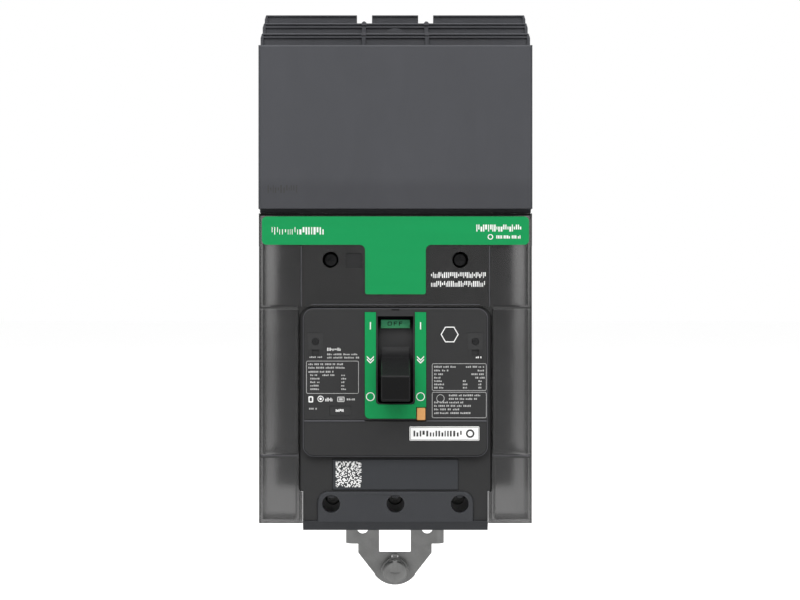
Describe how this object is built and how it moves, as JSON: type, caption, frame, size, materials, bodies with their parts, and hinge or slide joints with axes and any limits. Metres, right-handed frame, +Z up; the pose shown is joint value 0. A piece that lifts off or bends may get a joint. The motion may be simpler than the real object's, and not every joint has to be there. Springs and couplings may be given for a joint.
{
  "type": "molded case circuit breaker",
  "caption": "Plug-on molded case circuit breaker: jaw housing with stepped phase barriers, translucent front shroud, toggle handle, push-to-trip button, load lugs and a steel mounting bracket.",
  "frame": {"origin": "centre of the rear base's flat mounting face", "axes": "+X right, +Z up towards the bus jaws, -Y out of the front face"},
  "size_m": [0.149, 0.127, 0.3287],
  "materials": {
    "housing_charcoal": "fine moulded texture, charcoal grey",
    "screw_steel": "zinc plated",
    "copper": "silver-flashed copper",
    "spring_steel": "drawn wire or strip",
    "shroud_smoke": "smoke-tinted translucent polycarbonate, frosted",
    "label_green": "printed film, satin",
    "breaker_black": "fine moulded texture, black",
    "lug_cover_grey": "fine moulded texture, slate grey",
    "panel_grey": "printed film, slate grey",
    "marker_green": "moulded, satin",
    "plate_white": "printed film",
    "screw_black": "black oxide",
    "cartridge_resin": "glass-filled moulding",
    "chute_steel": "plated steel and fibre",
    "mechanism_steel": "stamped steel, oiled",
    "rotor_resin": "glass-filled moulding",
    "bimetal": "rolled strip",
    "lug_aluminium": "tin plated",
    "zinc_steel": "zinc plated, satin",
    "handle_black": "moulded, satin",
    "flag_green": "printed",
    "contact_silver": "silver alloy on copper",
    "trip_orange": "moulded, satin"
  },
  "bodies": {
    "breaker": {"rear_base": "housing_charcoal", "base_screws": "screw_steel", "jaw_housing": "housing_charcoal", "phase_barrier_front": "housing_charcoal", "phase_barrier_middle": "housing_charcoal", "phase_barrier_rear": "housing_charcoal", "plug_on_jaw_left": "copper", "plug_on_jaw_centre": "copper", "plug_on_jaw_right": "copper", "line_strap_left": "copper", "line_strap_centre": "copper", "line_strap_right": "copper", "jaw_spring_clips": "spring_steel", "front_shroud": "shroud_smoke", "green_label": "label_green", "breaker_base": "breaker_black", "breaker_cover": "breaker_black", "lug_cover": "lug_cover_grey", "rating_panel": "panel_grey", "accessory_cover": "breaker_black", "toggle_escutcheon": "marker_green", "trip_unit_cover": "breaker_black", "name_plate": "plate_white", "cover_screws": "screw_black", "accessory_cover_screws": "screw_black", "pole_cartridge_left": "cartridge_resin", "pole_cartridge_centre": "cartridge_resin", "pole_cartridge_right": "cartridge_resin", "line_fixed_contacts": "copper", "load_fixed_contacts": "copper", "arc_chutes": "chute_steel", "mechanism_frame": "mechanism_steel", "cradle": "mechanism_steel", "trip_unit_housing": "rotor_resin", "load_straps": "copper", "bimetal_strips": "bimetal", "magnet_yokes": "mechanism_steel", "load_lugs": "lug_aluminium", "lug_screws": "screw_steel", "trip_button_spring": "spring_steel", "mounting_bracket": "zinc_steel", "bracket_screws": "screw_steel"},
    "toggle": {"toggle_handle": "handle_black", "dust_shield": "handle_black", "position_flags": "flag_green", "operating_lever": "mechanism_steel"},
    "springs": {"mechanism_springs": "spring_steel"},
    "rotor": {"contact_rotor_left": "rotor_resin", "contact_rotor_centre": "rotor_resin", "contact_rotor_right": "rotor_resin", "moving_contact_left": "contact_silver", "moving_contact_centre": "contact_silver", "moving_contact_right": "contact_silver", "drive_rods": "mechanism_steel"},
    "upper_links": {"upper_links": "mechanism_steel"},
    "lower_links": {"lower_links": "mechanism_steel"},
    "trip_button": {"trip_button": "trip_orange"},
    "trip_bar": {"trip_bar": "rotor_resin"},
    "screw_retainer": {"screw_retainer": "zinc_steel"},
    "mounting_screw": {"mounting_screw": "zinc_steel"}
  },
  "joints": [
    {"name": "toggle_swing", "type": "hinge", "parent": "breaker", "child": "toggle", "pos_m": [0, -0.059, -0.0325], "axis": [-1, 0, 0], "range_deg": [-2.5, 25]},
    {"name": "spring_turn", "type": "hinge", "parent": "toggle", "child": "springs", "pos_m": [0, -0.09122, -0.03964], "axis": [-1, 0, 0], "range_deg": [-25, 2.5], "deforming": ["mechanism_springs"]},
    {"name": "rotor_turn", "type": "hinge", "parent": "breaker", "child": "rotor", "pos_m": [0, -0.036, -0.016], "axis": [-1, 0, 0], "range_deg": [-4, 40]},
    {"name": "upper_link_turn", "type": "hinge", "parent": "breaker", "child": "upper_links", "pos_m": [0, -0.084, -0.022], "axis": [-1, 0, 0], "range_deg": [-40.2, 4.1]},
    {"name": "lower_link_turn", "type": "hinge", "parent": "rotor", "child": "lower_links", "pos_m": [0, -0.04663, -0.01315], "axis": [-1, 0, 0], "range_deg": [-19.6, 2]},
    {"name": "trip_button_press", "type": "slide", "parent": "breaker", "child": "trip_button", "axis": [0, 1, 0], "range_m": [0, 0.0025], "stiffness_N_per_m": 400, "springref_m": -0.0005, "deforming": ["trip_button_spring"]},
    {"name": "trip_bar_turn", "type": "hinge", "parent": "breaker", "child": "trip_bar", "pos_m": [0, -0.064, -0.076], "axis": [-1, 0, 0], "range_deg": [0, 10.1]},
    {"name": "screw_turn", "type": "hinge", "parent": "screw_retainer", "child": "mounting_screw", "pos_m": [0, -0.012, -0.1572], "axis": [0, 1, 0], "range_deg": [0, 1081]},
    {"name": "screw_feed", "type": "slide", "parent": "breaker", "child": "screw_retainer", "axis": [0, 1, 0], "range_m": [0, 0.00381]}
  ],
  "couplings": [
    {"joint": "spring_turn", "follows": "toggle_swing", "ratio": -1},
    {"joint": "rotor_turn", "follows": "toggle_swing", "ratio": 1.6},
    {"joint": "upper_link_turn", "follows": "toggle_swing", "ratio": -1.6043},
    {"joint": "lower_link_turn", "follows": "toggle_swing", "ratio": -0.78014},
    {"joint": "trip_bar_turn", "follows": "trip_button_press", "rad_per_m": 70.4},
    {"joint": "screw_turn", "follows": "screw_feed", "rad_per_m": 4947.4}
  ]
}
